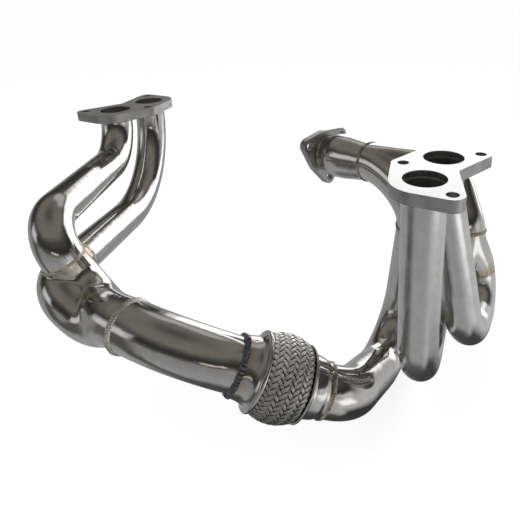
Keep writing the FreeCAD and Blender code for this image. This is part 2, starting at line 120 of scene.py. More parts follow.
# Each route: the corners of a centreline and the bend radius at each inner corner.
ROUTES = {
    "left_front_primary": (
        [
            under_port("left_front_primary", SOCKET_TOP),
            under_port("left_front_primary", -66),
            point(-107, -171, -58),
            left_seam_front,
        ],
        [56, 38],
    ),
    "left_rear_primary": (
        [
            under_port("left_rear_primary", SOCKET_TOP),
            under_port("left_rear_primary", -142),
            left_seam_rear,
        ],
        [120],
    ),
    "left_front_lobe": (
        [left_seam_front, point(-82.6, -147.8, -143.8), point(-32, -167.8, -139.9), left_outlet],
        [40, 85],
    ),
    "left_rear_lobe": (
        [
            left_seam_rear,
            point(-103, -176, -120),
            point(-52, -170.5, -154),
            point(-20, -167.9, -140.3),
            left_outlet,
        ],
        [44, 40, 40],
    ),
    "crossover_pipe": ([left_outlet, on_flex(-55), on_flex(10)], [118]),
    "rear_crossover_pipe": (
        [on_flex(CUFF_END), on_flex(120), point(167.3, 104, -322), merge_seam_rear],
        [57, 62],
    ),
    "right_front_primary": (
        [
            under_port("right_front_primary", SOCKET_TOP),
            under_port("right_front_primary", -226),
            point(222, 85, -226),
            right_seam_front,
        ],
        [50, 47],
    ),
    "right_rear_primary": (
        [
            under_port("right_rear_primary", SOCKET_TOP),
            under_port("right_rear_primary", -30),
            point(273, 46, -220),
            point(271, 136.5, -220),
            right_seam_rear,
        ],
        [100, 42, 38],
    ),
    "right_riser_pipe": (
        [right_outlet, point(243, 130, -118), point(216, 152, -64), merge_seam_riser],
        [55, 34],
    ),
}


def end_point(name):
    """Where a route ends."""
    return ROUTES[name][0][-1]


def end_direction(name):
    """The direction in which a route's last straight runs."""
    corners = ROUTES[name][0]
    return (corners[-1] - corners[-2]).normalized()


def start_direction(name):
    """The direction in which a route's first straight runs."""
    corners = ROUTES[name][0]
    return (corners[1] - corners[0]).normalized()


# ---------------------------------------------------------------- centrelines
def route_points(name, step=2.0):
    """Points and directions along a route of straights and tangent arcs."""
    corners, radii = ROUTES[name]
    points = []
    run_start = corners[0]
    for corner, after, radius in zip(corners[1:-1], corners[2:], radii):
        backward = (run_start - corner).normalized()
        forward = (after - corner).normalized()
        half_angle = backward.angle(forward) / 2
        setback = radius / math.tan(half_angle)
        arc_start = corner + backward * setback
        centre = corner + (backward + forward).normalized() * (radius / math.sin(half_angle))
        points += straight_points(run_start, arc_start, step)
        sweep = math.pi - 2 * half_angle
        spoke = arc_start - centre
        across = -backward * radius
        count = max(2, round(sweep * radius / step))
        for index in range(count):
            angle = sweep * index / count
            place = centre + spoke * math.cos(angle) + across * math.sin(angle)
            along = across * math.cos(angle) - spoke * math.sin(angle)
            points.append((place, along.normalized()))
        run_start = corner + forward * setback
    points += straight_points(run_start, corners[-1], step)
    points.append((corners[-1], (corners[-1] - corners[-2]).normalized()))
    return points


def straight_points(start, end, step):
    """Evenly spaced points from start up to, but without, end."""
    along = (end - start).normalized()
    count = max(1, round((end - start).length / step))
    return [(start.lerp(end, index / count), along) for index in range(count)]


def smooth_points(start, start_along, end, end_along, step=2.0):
    """A cubic that leaves start and reaches end in the given directions."""
    reach = (end - start).length
    count = max(4, round(reach / step))
    points = []
    for index in range(count + 1):
        share = index / count
        left = 1 - share
        near = start + start_along * reach / 3
        far = end - end_along * reach / 3
        place = start * left**3 + near * 3 * left**2 * share + far * 3 * left * share**2 + end * share**3
        along = (near - start) * left**2 + (far - near) * 2 * left * share + (end - far) * share**2
        points.append((place, along.normalized()))
    return points


def extended(points, before, after):
    """A centreline with straight runs added at its ends."""
    (first, first_along), (last, last_along) = points[0], points[-1]
    head = [(first - first_along * before, first_along)] if before else []
    tail = [(last + last_along * after, last_along)] if after else []
    return head + list(points) + tail


def axis_frame(along):
    """Two directions square to an axis."""
    nearly_upright = 0.9
    reference = UP if abs(along.z) < nearly_upright else Vector((0, 1, 0))
    across = along.cross(reference).normalized()
    return across, along.cross(across)


def on_circle(place, across, up, radius, angle):
    """A point round a centreline."""
    return place + across * (math.cos(angle) * radius) + up * (math.sin(angle) * radius)


def frames_along(points):
    """A non-twisting pair of cross directions for each point of a centreline."""
    across, _ = axis_frame(points[0][1])
    pairs = []
    for _, along in points:
        across = (across - along * along.dot(across)).normalized()
        pairs.append((across, along.cross(across)))
    return pairs


# ---------------------------------------------------------------- mesh builders
def make_object(name, vertices, faces, materials, face_slots=None, smooth=True):
    """A mesh object in metres from vertices in millimetres."""
    mesh = bpy.data.meshes.new(name)
    mesh.from_pydata([tuple(v * MM for v in vertex) for vertex in vertices], [], faces)
    for material in materials:
        mesh.materials.append(material)
    if face_slots:
        mesh.polygons.foreach_set("material_index", face_slots)
    mesh.polygons.foreach_set("use_smooth", [smooth] * len(mesh.polygons))
    mesh.update()
    created = bpy.data.objects.new(name, mesh)
    bpy.context.scene.collection.objects.link(created)
    return created


def grid_faces(rows, columns, wrap_rows, wrap_columns, offset=0):
    """Quads over a grid of rows by columns of vertices."""
    faces = []
    for row in range(rows if wrap_rows else rows - 1):
        for column in range(columns if wrap_columns else columns - 1):
            below = (row + 1) % rows
            beside = (column + 1) % columns
            faces.append(
                (
                    offset + row * columns + column,
                    offset + row * columns + beside,
                    offset + below * columns + beside,
                    offset + below * columns + column,
                )
            )
    return faces


def paint(target, name, values):
    """Stores one number per vertex for a material to read."""
    attribute = target.data.attributes.new(name, "FLOAT", "POINT")
    attribute.data.foreach_set("value", np.asarray(values, np.float32))


def tube(name, points, radius, materials, segments=96):
    """A hollow bent tube: a skin and a bore of quads, joined by a flat annulus at each end."""
    pairs = frames_along(points)
    distances = [0.0]
    for (here, _), (there, _) in zip(points, points[1:]):
        distances.append(distances[-1] + (there - here).length)
    total = distances[-1]
    vertices, edge_distance, travel, bearing = [], [], [], []
    for ring_radius in (radius, radius - WALL):
        for (place, _), (across, up), distance in zip(points, pairs, distances):
            for index in range(segments):
                angle = 2 * math.pi * index / segments
                vertices.append(on_circle(place, across, up, ring_radius, angle))
                edge_distance.append(min(distance, total - distance))
                travel.append(distance)
                bearing.append(math.cos(angle))
    count = len(points)
    outer = grid_faces(count, segments, False, True)
    inner = [tuple(reversed(face)) for face in grid_faces(count, segments, False, True, count * segments)]
    ends = []
    for ring in (0, count - 1):
        for index in range(segments):
            beside = (index + 1) % segments
            outside = ring * segments
            inside = (count + ring) * segments
            face = (outside + index, inside + index, inside + beside, outside + beside)
            ends.append(face if ring == 0 else tuple(reversed(face)))
    slots = [0] * len(outer) + [1] * (len(inner) + len(ends))
    built = make_object(name, vertices, outer + inner + ends, materials, slots)
    paint(built, "edge_distance", edge_distance)
    paint(built, "travel", travel)
    paint(built, "bearing", bearing)
    return outward(built)


def outward(target):
    """Makes a closed mesh's faces point outwards."""
    mesh = bmesh.new()
    mesh.from_mesh(target.data)
    bmesh.ops.recalc_face_normals(mesh, faces=mesh.faces)
    mesh.to_mesh(target.data)
    mesh.free()
    return target


def turned(name, profile, origin, along, materials, segments=192, wobble=None):
    """A closed ring turned about an axis from a loop of (radius, height) points."""
    across, up = axis_frame(along)
    vertices = []
    for index in range(segments):
        angle = 2 * math.pi * index / segments
        spoke = across * math.cos(angle) + up * math.sin(angle)
        for number, (radius, height) in enumerate(profile):
            if wobble:
                radius, height = wobble(angle, number, radius, height)
            vertices.append(origin + spoke * radius + along * height)
    faces = grid_faces(segments, len(profile), True, True)
    return outward(make_object(name, vertices, faces, materials))


def warmed(piece, origin, along, weld_heights):
    """Stores each vertex's distance from the nearest weld along a turned piece's axis."""
    heights = [(vertex.co / MM - origin).dot(along) for vertex in piece.data.vertices]
    paint(piece, "edge_distance", [min(abs(height - weld) for weld in weld_heights) for height in heights])
    return piece


def eased(stations, samples=8):
    """A smooth curve through (radius, height) stations."""
    rows = [stations[0]] + list(stations) + [stations[-1]]
    curve = []
    for before, start, end, after in zip(rows, rows[1:], rows[2:], rows[3:]):
        for index in range(samples):
            share = index / samples
            curve.append(tuple(catmull(before[k], start[k], end[k], after[k], share) for k in (0, 1)))
    curve.append(stations[-1])
    return curve


def catmull(before, start, end, after, share):
    """The Catmull-Rom value between start and end."""
    slope_in = (end - before) / 2
    slope_out = (after - start) / 2
    cube, square = share**3, share**2
    return (
        start * (2 * cube - 3 * square + 1)
        + slope_in * (cube - 2 * square + share)
        + end * (3 * square - 2 * cube)
        + slope_out * (cube - square)
    )


def sheet_loop(stations, wall=WALL):
    """The closed section of a formed sheet ring, with a smooth outside and a rounded lip."""
    outside = eased(stations)
    inside = [(radius - wall, height) for radius, height in reversed(outside)]
    return outside + inside


def rounded_ring_loop(inner, outer, start, end, corner=1.6, steps=6):
    """A rectangular ring section whose two outer corners are rounded."""
    loop = [(inner, start)]
    for centre_height, first in ((start + corner, math.pi), (end - corner, math.pi / 2)):
        for index in range(steps + 1):
            angle = first - math.pi / 2 * index / steps
            loop.append((outer - corner + corner * math.sin(angle), centre_height + corner * math.cos(angle)))
    loop.append((inner, end))
    return loop


BEAD_SINK = 0.6
POINTS_PER_RIPPLE = 8


def bead(name, origin, along, radius, materials, width=5.0, height=1.5, pitch=2.1, rough=0.12, seed=0.0):
    """A weld run around a tube, laid down as overlapping ripples like a row of tipped coins."""
    ripples = round(2 * math.pi * radius / pitch)
    steps = 12
    loop = [(radius, -1 + 2 * index / steps) for index in range(steps + 1)]
    loop += [(radius - BEAD_SINK, 1.0), (radius - BEAD_SINK, -1.0)]

    def ripple(angle, number, base, share):
        if number > steps:
            return base, share * width / 2
        wander = noise.noise(Vector((math.cos(angle) * 4 + seed, math.sin(angle) * 4, seed)))
        lag = 0.9 * share * share
        phase = (angle * ripples / (2 * math.pi) + lag + wander * 0.3) % 1.0
        crest = 1 - 0.7 * phase**2
        crown = math.sqrt(max(0.0, 1 - share * share))
        half_width = width / 2 * (1 + rough * wander)
        lift = height * crown * crest * (1 + 2 * rough * wander)
        return base + lift, share * half_width

    return turned(name, loop, origin, along, materials, ripples * POINTS_PER_RIPPLE, ripple)


def fillet_bead(name, origin, radius, materials, leg=4.0, seed=0.0):
    """A fillet weld below a flange: a rippled ring between the plate and the tube."""
    pitch = 2.3
    hollow = 1.35
    ripples = round(2 * math.pi * radius / pitch)
    steps = 10
    loop = [(radius - 0.5, 0.0)]
    for index in range(steps + 1):
        share = index / steps
        loop.append((radius + leg * (1 - share) ** hollow, -leg * share**hollow))
    loop.append((radius - 0.5, -leg))

    def ripple(angle, number, base, height):
        if number == 0 or number > steps:
            return base, height
        share = (number - 1) / steps
        wander = noise.noise(Vector((math.cos(angle) * 3 + seed, math.sin(angle) * 3, seed)))
        phase = (angle * ripples / (2 * math.pi) + 1.1 * (share - 0.5) ** 2 + wander * 0.3) % 1.0
        lift = 0.9 * math.sin(math.pi * share) * (1 - 0.5 * phase**2)
        return base + lift * 0.7, height - lift * 0.7

    return turned(name, loop, origin, UP, materials, ripples * POINTS_PER_RIPPLE, ripple)


def evaluated(target):
    """Applies a piece's modifiers to its mesh."""
    depsgraph = bpy.context.evaluated_depsgraph_get()
    mesh = bpy.data.meshes.new_from_object(target.evaluated_get(depsgraph))
    target.modifiers.clear()
    target.data = mesh
    return target


VOXEL = 1.1
SMOOTHING_PASSES = 14
# Seam distance is measured from a seam's centre, so this much of it is the tube's own radius.
SEAM_REACH = 21


def collector(name, lobes, cuts, materials):
    """Two lobes blown into one skin: united, faired along the valley, cut open and hollowed.

    lobes holds (centreline, start radius, end radius); cuts holds (place, direction kept, radius).
    """
    vertices, faces = [], []
    segments = 72
    for points, start_radius, end_radius in lobes:
        offset = len(vertices)
        pairs = frames_along(points)
        rows = len(points)
        for row, ((place, _), (across, up)) in enumerate(zip(points, pairs)):
            share = min(1.0, max(0.0, (row - 1) / (rows - 3)))
            radius = start_radius + (end_radius - start_radius) * share
            for index in range(segments):
                angle = 2 * math.pi * index / segments
                vertices.append(on_circle(place, across, up, radius, angle))
        faces += grid_faces(rows, segments, False, True, offset)
        faces.append(tuple(offset + index for index in range(segments)))
        faces.append(tuple(offset + (rows - 1) * segments + index for index in reversed(range(segments))))
    built = make_object(name, vertices, faces, materials)
    outward(built)
    remesh = built.modifiers.new("unite", "REMESH")
    remesh.mode = "VOXEL"
    remesh.voxel_size = VOXEL * MM
    evaluated(built)
    mesh = bmesh.new()
    mesh.from_mesh(built.data)
    every_axis = {"use_axis_x": True, "use_axis_y": True, "use_axis_z": True}
    for _ in range(SMOOTHING_PASSES):
        bmesh.ops.smooth_vert(mesh, verts=mesh.verts, factor=0.5, **every_axis)
    for place, kept, radius in cuts:
        cut_end(mesh, place * MM, kept, radius * MM)
    mesh.to_mesh(built.data)
    mesh.free()
    built.data.polygons.foreach_set("use_smooth", [True] * len(built.data.polygons))
    shell = built.modifiers.new("wall", "SOLIDIFY")
    shell.thickness = WALL * MM
    shell.offset = -1
    shell.material_offset = 1
    shell.material_offset_rim = 1
    evaluated(built)
    seams = [place * MM for place, _, _ in cuts]
    distances = [min((vertex.co - seam).length for seam in seams) for vertex in built.data.vertices]
    paint(built, "edge_distance", [max(0.0, distance / MM - SEAM_REACH) for distance in distances])
    return built


def cut_end(mesh, place, kept, radius):
    """Cuts one tube end square at a seam, looking only at the faces around that end."""
    reach = radius * 1.12
    behind_cut, ahead_of_cut = -20 * MM, 6 * MM

    def near(centre):
        offset = centre - place
        depth = offset.dot(kept)
        return (offset - kept * depth).length < reach and behind_cut < depth < ahead_of_cut

    chosen = [face for face in mesh.faces if near(face.calc_center_median())]
    geometry = {item for face in chosen for item in (face, *face.edges, *face.verts)}
    bmesh.ops.bisect_plane(
        mesh, geom=list(geometry), dist=1e-7, plane_co=place, plane_no=kept, clear_inner=False
    )
    behind = [
        face
        for face in mesh.faces
        if near(face.calc_center_median()) and (face.calc_center_median() - place).dot(kept) < 0
    ]
    bmesh.ops.delete(mesh, geom=behind, context="FACES")


def chamfered_copy(node, name, materials, width):
    """A copy of a CAD node with its flat faces whole again and its sharp edges broken."""
    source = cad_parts[node]
    mesh = bmesh.new()
    mesh.from_mesh(source.data)
    bmesh.ops.remove_doubles(mesh, verts=mesh.verts, dist=1e-6)
    bmesh.ops.dissolve_limit(mesh, angle_limit=math.radians(0.5), verts=mesh.verts, edges=mesh.edges)
    data = bpy.data.meshes.new(name)
    mesh.to_mesh(data)
    mesh.free()
    data.materials.clear()
    for material in materials:
        data.materials.append(material)
    copy = bpy.data.objects.new(name, data)
    bpy.context.scene.collection.objects.link(copy)
    bevel = copy.modifiers.new("broken_edge", "BEVEL")
    bevel.width = width * MM
    bevel.segments = 3
    bevel.limit_method = "ANGLE"
    bevel.angle_limit = math.radians(35)
    evaluated(copy)
    copy.data.polygons.foreach_set("use_smooth", [True] * len(copy.data.polygons))
    copy.data.polygons.foreach_set("material_index", [0] * len(copy.data.polygons))
    normals = copy.modifiers.new("flat_faces", "WEIGHTED_NORMAL")
    normals.keep_sharp = True
    return copy


# ---------------------------------------------------------------- material nodes
class Nodes:
    """A short way to write a node tree."""

    def __init__(self, tree):
        self.tree = tree
        tree.nodes.clear()

    def add(self, kind, inputs=None, **settings):
        node = self.tree.nodes.new(kind)
        for key, value in settings.items():
            setattr(node, key, value)
        for key, value in (inputs or {}).items():
            socket = node.inputs[key]
            if isinstance(value, bpy.types.NodeSocket):
                self.tree.links.new(value, socket)
            else:
                socket.default_value = value
        return node

    def maths(self, operation, first, second=0.0, clamp=False):
        inputs = {0: first, 1: second}
        return self.add("ShaderNodeMath", inputs, operation=operation, use_clamp=clamp).outputs[0]

    def scaled(self, value, factor, offset=0.0):
        """value * factor + offset."""
        inputs = {0: value, 1: factor, 2: offset}
        return self.add("ShaderNodeMath", inputs, operation="MULTIPLY_ADD").outputs[0]

    def ramp(self, factor, stops):
        node = self.add("ShaderNodeValToRGB", {"Fac": factor})
        elements = node.color_ramp.elements
        for index, (position, colour) in enumerate(stops):
            element = elements[index] if index < 2 else elements.new(position)
            element.position = position
            element.color = (*colour, 1) if len(colour) == 3 else colour
        return node.outputs["Color"]

    def mix(self, factor, first, second):
        return self.add("ShaderNodeMix", {0: factor, 6: first, 7: second}, data_type="RGBA").outputs[2]

    def multiply(self, factor, first, second):
        inputs = {0: factor, 6: first, 7: second}
        return self.add("ShaderNodeMix", inputs, data_type="RGBA", blend_type="MULTIPLY").outputs[2]

    def bump(self, height, strength, distance, normal=None):
        inputs = {"Height": height, "Strength": strength, "Distance": distance}
        if normal is not None:
            inputs["Normal"] = normal
        return self.add("ShaderNodeBump", inputs).outputs[0]

    def facing_up(self):
        """How far a surface faces up, from -1 to 1."""
        normal = self.add("ShaderNodeNewGeometry").outputs["Normal"]
        return self.add("ShaderNodeSeparateXYZ", {0: normal}).outputs[2]

    def noise(self, vector, scale, detail=2.0, roughness=0.5):
        inputs = {"Vector": vector, "Scale": scale, "Detail": detail, "Roughness": roughness}
        return self.add("ShaderNodeTexNoise", inputs).outputs["Fac"]

    def attribute(self, name):
        return self.add("ShaderNodeAttribute", attribute_name=name).outputs["Fac"]

    def position(self):
        return self.add("ShaderNodeTexCoord").outputs["Object"]


def new_material(name):
    """An empty node material and its writer."""
    material = bpy.data.materials.new(name)
    material.use_nodes = True
    return material, Nodes(material.node_tree)


def metal_output(nodes, colour, roughness, normal, metallic=1.0):
    """A metal surface from its colour, roughness and bump."""
    shader = nodes.add(
        "ShaderNodeBsdfPrincipled",
        {"Base Color": colour, "Roughness": roughness, "Normal": normal, "Metallic": metallic},
    )
    nodes.add("ShaderNodeOutputMaterial", {"Surface": shader.outputs["BSDF"]})


# How many millimetres from a weld the straw tint reaches.
HEAT_REACH = 7.5
HOT, HOTTEST = (0.42, 0.35, 0.29), (0.30, 0.28, 0.29)


def tube_metal(name, colour, roughness, streaks, waviness, tint):
    """Stainless tube: drawn streaks along it, faint waves, small stains, and straw tint by its welds."""
    material, nodes = new_material(name)
    place = nodes.position()
    travel = nodes.attribute("travel")
    bearing = nodes.attribute("bearing")
    drawn_inputs = {0: nodes.maths("MULTIPLY", bearing, 26.0), 1: nodes.maths("MULTIPLY", travel, 0.02)}
    drawn = nodes.add("ShaderNodeCombineXYZ", drawn_inputs).outputs[0]
    streak = nodes.noise(drawn, 2.5, 6.0, 0.65)
    wave = nodes.noise(place, 32.0, 2.0, 0.5)
    dents = nodes.noise(place, 110.0, 2.0, 0.5)
    stain = nodes.noise(place, 60.0, 5.0, 0.6)
    edge = nodes.attribute("edge_distance")
    cold = nodes.scaled(nodes.noise(place, 120.0), 0.8)
    cooled = nodes.maths("ADD", cold, nodes.scaled(edge, 1 / HEAT_REACH))
    heat = nodes.maths("SUBTRACT", 1.1, cooled, clamp=True)
    tinted = nodes.ramp(heat, [(0.0, colour), (0.5, tint), (0.85, HOT), (1.0, HOTTEST)])
    cloud = nodes.ramp(stain, [(0.35, (0.80, 0.79, 0.77)), (0.62, (1.0, 1.0, 1.0))])
    shade = nodes.multiply(0.55, tinted, cloud)
    spread = nodes.scaled(streak, roughness * 0.8, roughness * 0.3)
    rough = nodes.maths("ADD", spread, nodes.scaled(stain, roughness * 0.6))
    fine = nodes.bump(streak, streaks, 0.3 * MM)
    broad = nodes.bump(wave, waviness, 4 * MM, fine)
    small = nodes.bump(dents, waviness * 0.6, 1.2 * MM, broad)
    metal_output(nodes, shade, rough, small)
    return material


def bore_metal():
    """The dull, darker grey inside of a tube, in random patches."""
    material, nodes = new_material("bore_metal")
    place = nodes.position()
    # The bore is darker grey than the outside, in random patches.
    bore_mottle = nodes.noise(place, 45.0, 4.0, 0.6)
    colour = nodes.ramp(bore_mottle, [(0.3, (0.20, 0.20, 0.20)), (0.7, (0.38, 0.375, 0.37))])
    rough = nodes.scaled(bore_mottle, 0.2, 0.42)
    bump = nodes.bump(bore_mottle, 0.2, 0.5 * MM)
    metal_output(nodes, colour, rough, bump)
    return material


def plate_metal():
    """A flange: the ground top is bright and finely scratched, the cut sides are grey satin."""
    material, nodes = new_material("flange_plate")
    place = nodes.position()
    stretched = nodes.add("ShaderNodeMapping", {"Vector": place, "Scale": (900.0, 45.0, 300.0)}).outputs[0]
    scratch = nodes.noise(stretched, 1.0, 4.0, 0.7)
    blotch = nodes.noise(place, 70.0, 4.0, 0.6)
    top = nodes.maths("GREATER_THAN", nodes.facing_up(), 0.8)
    side = nodes.ramp(blotch, [(0.3, (0.33, 0.325, 0.32)), (0.7, (0.47, 0.465, 0.46))])
    ground = nodes.ramp(scratch, [(0.25, (0.80, 0.80, 0.80)), (0.6, (0.92, 0.92, 0.92))])
    colour = nodes.mix(top, side, ground)
    rough = nodes.scaled(scratch, 0.16, 0.30)
    bump = nodes.bump(scratch, 0.25, 0.2 * MM)
    metal_output(nodes, colour, rough, bump)
    return material


def weld_metal(name, stops, roughness, grain):
    """A weld bead coloured by the heat it took, from a ramp of oxide colours."""
    material, nodes = new_material(name)
    place = nodes.position()
    patch = nodes.noise(place, 130.0, 4.0, 0.7)
    pits = nodes.noise(place, 900.0, 3.0, 0.6)
    colour = nodes.ramp(patch, stops)
    rough = nodes.scaled(pits, 0.25, roughness)
    bump = nodes.bump(pits, grain, 0.4 * MM)
    metal_output(nodes, colour, rough, bump)
    return material


def wire_metal():
    """Bright drawn wire, with painted shade where a strand dips under and where it faces the ground."""
    material, nodes = new_material("braid_wire")
    place = nodes.position()
    patch = nodes.noise(place, 160.0, 4.0, 0.6)
    # Painted shade: the stored lift darkens strands where they dip under the other hand and on their sides,
    # lightest where they lie over.
    lift = nodes.attribute("lift")
    dark, middling, bright = (0.10, 0.098, 0.092), (0.60, 0.59, 0.57), (0.95, 0.94, 0.92)
    high = nodes.ramp(lift, [(0.0, dark), (0.45, middling), (1.0, bright)])
    cloud = nodes.ramp(patch, [(0.3, (0.72, 0.71, 0.69)), (0.7, (1.0, 1.0, 1.0))])
    # Painted shade by facing: faces turned sideways and down are darkened, faces turned up keep full tone.
    shaded_side_tone, half_shaded_tone, unshaded_tone = (0.34, 0.34, 0.33), (0.55, 0.54, 0.52), (1.0, 1.0, 1.0)
    painted_shade_facing_down = nodes.ramp(nodes.facing_up(), [(0.0, shaded_side_tone), (0.5, half_shaded_tone), (0.85, unshaded_tone)])
    colour = nodes.multiply(1.0, nodes.multiply(1.0, high, cloud), painted_shade_facing_down)
    rough = nodes.scaled(patch, 0.12, 0.10)
    bump = nodes.bump(patch, 0.15, 0.4 * MM)
    metal_output(nodes, colour, rough, bump, 0.9)
    return material


def painted_shade_inner_metal():
    """The bellows and liner sheet, seen only through the braid, painted near black as shade."""
    material, nodes = new_material("flex_inner")
    place = nodes.position()
    patch = nodes.noise(place, 90.0, 3.0, 0.6)
    # Painted shade: near-black tones stand in for the shade under the braid.
    colour = nodes.ramp(patch, [(0.3, (0.03, 0.03, 0.03)), (0.7, (0.09, 0.088, 0.085))])
    rough = nodes.scaled(patch, 0.2, 0.45)
    bump = nodes.bump(patch, 0.15, 0.4 * MM)
    metal_output(nodes, colour, rough, bump)
    return material


POLISHED = tube_metal("polished_tube", (0.65, 0.64, 0.625), 0.085, 0.10, 0.14, (0.63, 0.58, 0.49))
SATIN = tube_metal("satin_tube", (0.69, 0.69, 0.69), 0.19, 0.22, 0.05, (0.62, 0.57, 0.49))
CUFF = tube_metal("flex_cuff", (0.60, 0.595, 0.585), 0.13, 0.12, 0.18, (0.56, 0.51, 0.44))
BORE = bore_metal()
PLATE = plate_metal()
BEAD = weld_metal(
    "weld_bead",
    [
        (0.25, (0.16, 0.14, 0.14)),
        (0.42, (0.36, 0.30, 0.26)),
        (0.55, (0.62, 0.56, 0.50)),
        (0.75, (0.82, 0.79, 0.75)),
    ],
    0.18,
    0.30,
)
BRIGHT_BEAD = weld_metal(
    "bright_weld_bead",
    [(0.2, (0.42, 0.35, 0.31)), (0.45, (0.78, 0.72, 0.67)), (0.75, (0.97, 0.95, 0.93))],
    0.18,
    0.25,
)
HEAVY_BEAD = weld_metal("heavy_weld", [(0.3, (0.07, 0.075, 0.085)), (0.7, (0.30, 0.31, 0.33))], 0.26, 0.8)
WIRE = wire_metal()
# The bellows and liner material is painted near black as shade.
PAINTED_SHADE_INNER = painted_shade_inner_metal()


def dress(piece, body, node):
    """Lets a piece stand for a CAD node and ride on its body."""
    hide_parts(node)
    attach(piece, body)
    return piece


# ---------------------------------------------------------------- flanges and tubes
FLANGES = {
    "left_head_flange": ("left_flange_plate", 0.7, "left_bank"),
    "right_head_flange": ("right_flange_plate", 0.7, "right_bank"),
    "outlet_flange": ("outlet_flange_plate", 0.6, "right_bank"),
}
for node, (name, edge_width, body) in FLANGES.items():
    dress(chamfered_copy(node, name, [PLATE], edge_width), body, node)

TUBES = {
    "left_front_primary": (PRIMARY_RADIUS, POLISHED, "polished_tube", "left_bank"),
    "left_rear_primary": (PRIMARY_RADIUS, POLISHED, "polished_tube", "left_bank"),
    "crossover_pipe": (PIPE_RADIUS, POLISHED, "polished_tube", "left_bank"),
    "rear_crossover_pipe": (PIPE_RADIUS, POLISHED, "polished_tube", "right_bank"),
    "right_front_primary": (PRIMARY_RADIUS, SATIN, "satin_tube", "right_bank"),
    "right_rear_primary": (PRIMARY_RADIUS, SATIN, "satin_tube", "right_bank"),
    "right_riser_pipe": (PIPE_RADIUS, POLISHED, "polished_tube", "right_bank"),
}
for node, (radius, material, slot, body) in TUBES.items():
    dress(tube(node + "_tube", route_points(node), radius, [material, BORE]), body, node)

# ---------------------------------------------------------------- collectors
# How far each lobe runs past its seams before it is cut square.
OVERRUN = 8


def merging(route, end, end_along):
    """The centreline of a lobe that carries on from a tube's end to an outlet."""
    return smooth_points(end_point(route), end_direction(route), end, end_along)


def formed_collector(node, body, centrelines, inlets, inlet_radius, outlet, along):
    """A collector that takes the two inlet routes' ends to one outlet."""
    lobes = [(extended(points, OVERRUN, OVERRUN), inlet_radius, PIPE_RADIUS) for points in centrelines]
    cuts = [(end_point(route), end_direction(route), inlet_radius) for route in inlets]
    cuts.append((outlet, -along, PIPE_RADIUS))
    dress(collector(node + "_shell", lobes, cuts, [POLISHED, BORE]), body, node)


left_along = start_direction("crossover_pipe")
right_along = start_direction("right_riser_pipe")
formed_collector(
    "left_collector",
    "left_bank",
    [route_points("left_front_lobe"), route_points("left_rear_lobe")],
    ["left_front_primary", "left_rear_primary"],
    PRIMARY_RADIUS,
    left_outlet,
    left_along,
)
RIGHT_PRIMARIES = ["right_front_primary", "right_rear_primary"]
MERGING_PIPES = ["right_riser_pipe", "rear_crossover_pipe"]
for node, slot, inlets, inlet_radius, outlet, along in (
    ("right_collector", "satin_tube", RIGHT_PRIMARIES, PRIMARY_RADIUS, right_outlet, right_along),
    ("merge_collector", "polished_tube", MERGING_PIPES, PIPE_RADIUS, merge_outlet, outlet_axis),
):
    centrelines = [merging(route, outlet, along) for route in inlets]
    formed_collector(node, "right_bank", centrelines, inlets, inlet_radius, outlet, along)


# ---------------------------------------------------------------- welds
def joined(name, parts):
    """One piece from several meshes."""
    mesh = bmesh.new()
    for part in parts:
        mesh.from_mesh(part.data)
    data = parts[0].data
    mesh.to_mesh(data)
    mesh.free()
    parts[0].name = name
    for part in parts[1:]:
        bpy.data.objects.remove(part)
    return parts[0]


def seam_beads(name, routes, radius, **shape):
    """One weld run at the end of each named route."""
    runs = []
    for number, route in enumerate(routes, start=1):
        place, along = end_point(route), end_direction(route)
        runs.append(bead(f"{name}_{number}", place, along, radius, [BEAD], seed=number, **shape))
    return joined(name, runs)


def weld(node, body, place, along, radius=PIPE_RADIUS, material=BEAD, slot="weld_bead", **shape):
    """One weld run that stands for its CAD node."""
    dress(bead(node + "_bead", place, along, radius, [material], **shape), body, node)


def port_welds(side, routes):
    """The fillet welds that hold a head flange to its two primaries."""
    fillets = []
    for number, route in enumerate(routes):
        place = under_port(route, -FLANGE_THICKNESS)
        seed = number + PORTS[route][0]
        fillets.append(fillet_bead(f"{side}_fillet_{number}", place, PRIMARY_RADIUS, [BEAD], seed=seed))
    dress(joined(f"{side}_port_weld_beads", fillets), f"{side}_bank", f"{side}_port_welds")


for side in ("left", "right"):
    primaries = [f"{side}_front_primary", f"{side}_rear_primary"]
    port_welds(side, primaries)
    label = f"{side}_seam_weld_beads"
    seams = seam_beads(label, primaries, PRIMARY_RADIUS, width=2.6, height=0.35, pitch=1.6)
    dress(seams, f"{side}_bank", f"{side}_seam_welds")

weld(
    "left_collector_weld", "left_bank", left_outlet, left_along, material=BRIGHT_BEAD,
    width=6.6, height=2.0, pitch=2.4, seed=3,
)
weld("right_collector_weld", "right_bank", right_outlet, right_along, seed=5)
dress(seam_beads("merge_weld_beads", MERGING_PIPES, PIPE_RADIUS), "right_bank", "merge_welds")
weld("outlet_weld", "right_bank", merge_outlet, outlet_axis, width=4.6, height=1.3, seed=7)

# ---------------------------------------------------------------- outlet cone
NECK_RADIUS = 23.0
PLATE_START = 78
CONE_STATIONS = [
    (PIPE_RADIUS, 0), (PIPE_RADIUS + 0.3, 4), (PIPE_RADIUS + 2, 18), (29.6, 36), (30.2, 47),
    (29.7, 54), (26.4, 64), (23.5, 71), (NECK_RADIUS, 76), (NECK_RADIUS, 85),
]
cone = turned("outlet_cone_shell", sheet_loop(CONE_STATIONS), merge_outlet, outlet_axis, [POLISHED])
warmed(cone, merge_outlet, outlet_axis, [0, PLATE_START])
dress(cone, "right_bank", "outlet_cone")
plate_place = merge_outlet + outlet_axis * (PLATE_START - 1.2)
weld(
    "outlet_flange_weld", "right_bank", plate_place, outlet_axis, NECK_RADIUS,
    width=4.4, height=1.8, seed=9,
)

